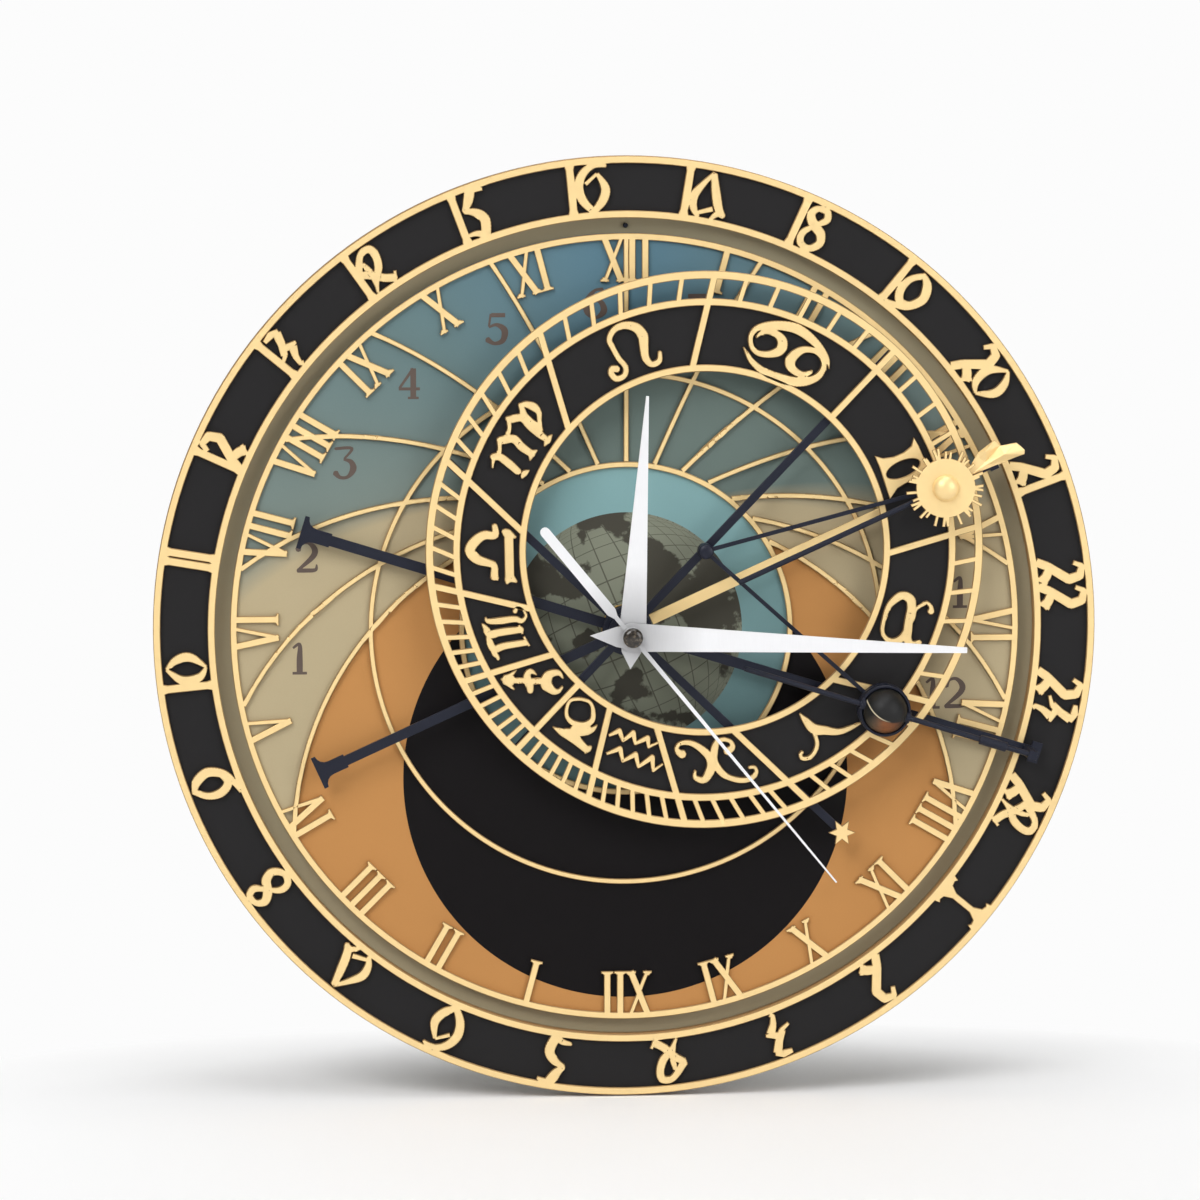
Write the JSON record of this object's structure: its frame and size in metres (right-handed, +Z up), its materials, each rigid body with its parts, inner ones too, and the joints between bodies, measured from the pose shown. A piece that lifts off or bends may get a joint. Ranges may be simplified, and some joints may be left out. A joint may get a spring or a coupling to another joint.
{
  "type": "astronomical wall clock",
  "caption": "Round wall clock with a planisphere dial, gilt hour ring, turning offset zodiac ring, sun and moon arms, three hands and a battery movement behind.",
  "frame": {"origin": "on the clock's axis in the plane of the wall, at the back face of the movement case", "axes": "+Z up, -Y out of the dial towards the viewer, +X to the viewer's right"},
  "size_m": [0.34, 0.0601, 0.34],
  "materials": {
    "gilt_sheet": "satin",
    "gilt_ring": "satin",
    "black_panel": "matte",
    "navy_paint": "satin",
    "khaki_back": "matte",
    "dial_print": "satin",
    "moon_gloss": "gloss",
    "hand_metal": "satin",
    "cap_gloss": "satin",
    "brass_fitting": "satin",
    "plain_steel": "satin",
    "case_plastic": "matte",
    "gear_plastic": "matte",
    "washer_rubber": "matte",
    "cell_jacket": "satin",
    "board_green": "matte",
    "coil_wire": "satin"
  },
  "bodies": {
    "case": {"movement_shell": "case_plastic", "movement_cover": "case_plastic", "bushing": "brass_fitting", "hanger": "plain_steel", "rubber_washer": "washer_rubber", "dial_washer": "brass_fitting", "hex_nut": "brass_fitting", "battery": "cell_jacket", "contact_plus": "plain_steel", "contact_minus": "plain_steel", "circuit_board": "board_green", "quartz_crystal": "plain_steel", "coil": "coil_wire", "stator": "plain_steel", "train_bridge": "gear_plastic", "back_plate": "khaki_back", "dial_disc": "dial_print", "dial_fret": "gilt_sheet", "hour_ring": "gilt_ring", "hour_band": "black_panel", "hour_fret": "gilt_sheet", "hub_retainer": "brass_fitting"},
    "zodiac": {"zodiac_spokes": "navy_paint", "zodiac_band": "black_panel", "zodiac_fret": "gilt_sheet", "sign_fret": "gilt_sheet", "link_post": "navy_paint", "star": "gilt_sheet"},
    "sun_arm": {"sun_tail": "navy_paint", "sun_bar": "gilt_sheet", "sun_rod": "navy_paint", "sun_pointer": "gilt_sheet"},
    "sun": {"sun_carriage": "gilt_sheet", "sun_disc": "gilt_sheet"},
    "sun_link": {"sun_link": "navy_paint"},
    "moon_arm": {"moon_arm": "navy_paint", "moon_rod": "navy_paint"},
    "moon_slider": {"moon_sleeve": "navy_paint"},
    "moon_ball": {"moon_ball": "moon_gloss"},
    "moon_link": {"moon_link": "navy_paint"},
    "hour": {"hour_hand": "hand_metal", "hour_wheel": "gear_plastic"},
    "minute": {"minute_hand": "hand_metal", "minute_tube": "brass_fitting"},
    "second": {"second_hand": "hand_metal", "seconds_wheel": "plain_steel", "hand_cap": "cap_gloss"},
    "third": {"third_wheel": "gear_plastic"},
    "rotor": {"rotor": "plain_steel"},
    "intermediate": {"intermediate_wheel": "gear_plastic"},
    "knob": {"setting_knob": "case_plastic"}
  },
  "joints": [
    {"name": "zodiac_turn", "type": "hinge", "parent": "case", "child": "zodiac", "pos_m": [0, -0.034, 0], "axis": [0, 1, 0], "continuous": true},
    {"name": "sun_arm_set", "type": "hinge", "parent": "zodiac", "child": "sun_arm", "pos_m": [0, -0.0323, 0], "axis": [0, -1, 0], "range_deg": [-8, 8]},
    {"name": "sun_slide", "type": "slide", "parent": "sun_arm", "child": "sun", "axis": [0.91, 0, 0.4147], "range_m": [-0.0033, 0.0033]},
    {"name": "sun_link_swing", "type": "hinge", "parent": "zodiac", "child": "sun_link", "pos_m": [0.02759, -0.0383, 0.02897], "axis": [0, -1, 0], "range_deg": [-11.6, 11.6]},
    {"name": "moon_arm_set", "type": "hinge", "parent": "zodiac", "child": "moon_arm", "pos_m": [0, -0.0307, 0], "axis": [0, -1, 0], "range_deg": [-8, 8]},
    {"name": "moon_slide", "type": "slide", "parent": "moon_arm", "child": "moon_slider", "axis": [0.9553, 0, -0.2957], "range_m": [-0.0063, 0.0063]},
    {"name": "moon_link_swing", "type": "hinge", "parent": "zodiac", "child": "moon_link", "pos_m": [0.02759, -0.0397, 0.02897], "axis": [0, -1, 0], "range_deg": [-10, 10]},
    {"name": "moon_phase", "type": "hinge", "parent": "moon_slider", "child": "moon_ball", "pos_m": [0.09168, -0.0458, -0.02838], "axis": [0.9553, 0, -0.2957], "continuous": true},
    {"name": "minute_turn", "type": "hinge", "parent": "case", "child": "minute", "pos_m": [0, -0.0558, 0], "axis": [0, 1, 0], "continuous": true},
    {"name": "hour_turn", "type": "hinge", "parent": "case", "child": "hour", "pos_m": [0, -0.0546, 0], "axis": [0, 1, 0], "continuous": true},
    {"name": "intermediate_turn", "type": "hinge", "parent": "case", "child": "intermediate", "pos_m": [0, -0.0095, 0.012], "axis": [0, 1, 0], "continuous": true},
    {"name": "setting_turn", "type": "hinge", "parent": "case", "child": "knob", "pos_m": [0.012, -0.0017, 0.012], "axis": [0, 1, 0], "continuous": true},
    {"name": "second_turn", "type": "hinge", "parent": "case", "child": "second", "pos_m": [0, -0.0569, 0], "axis": [0, 1, 0], "continuous": true},
    {"name": "third_turn", "type": "hinge", "parent": "case", "child": "third", "pos_m": [-0.01, -0.005, 0], "axis": [0, 1, 0], "continuous": true},
    {"name": "rotor_turn", "type": "hinge", "parent": "case", "child": "rotor", "pos_m": [-0.01649, -0.004, 0.00375], "axis": [0, 1, 0], "continuous": true}
  ],
  "couplings": [
    {"joint": "sun_slide", "follows": "sun_arm_set", "m_per_rad": 0.021262},
    {"joint": "sun_link_swing", "follows": "sun_arm_set", "ratio": 1.425},
    {"joint": "moon_slide", "follows": "moon_arm_set", "m_per_rad": 0.043985},
    {"joint": "moon_link_swing", "follows": "moon_arm_set", "ratio": 1.2275},
    {"joint": "hour_turn", "follows": "minute_turn", "ratio": 0.083333},
    {"joint": "intermediate_turn", "follows": "minute_turn", "ratio": -0.33333},
    {"joint": "setting_turn", "follows": "minute_turn", "ratio": 1},
    {"joint": "third_turn", "follows": "second_turn", "ratio": -4},
    {"joint": "rotor_turn", "follows": "second_turn", "ratio": 12}
  ]
}
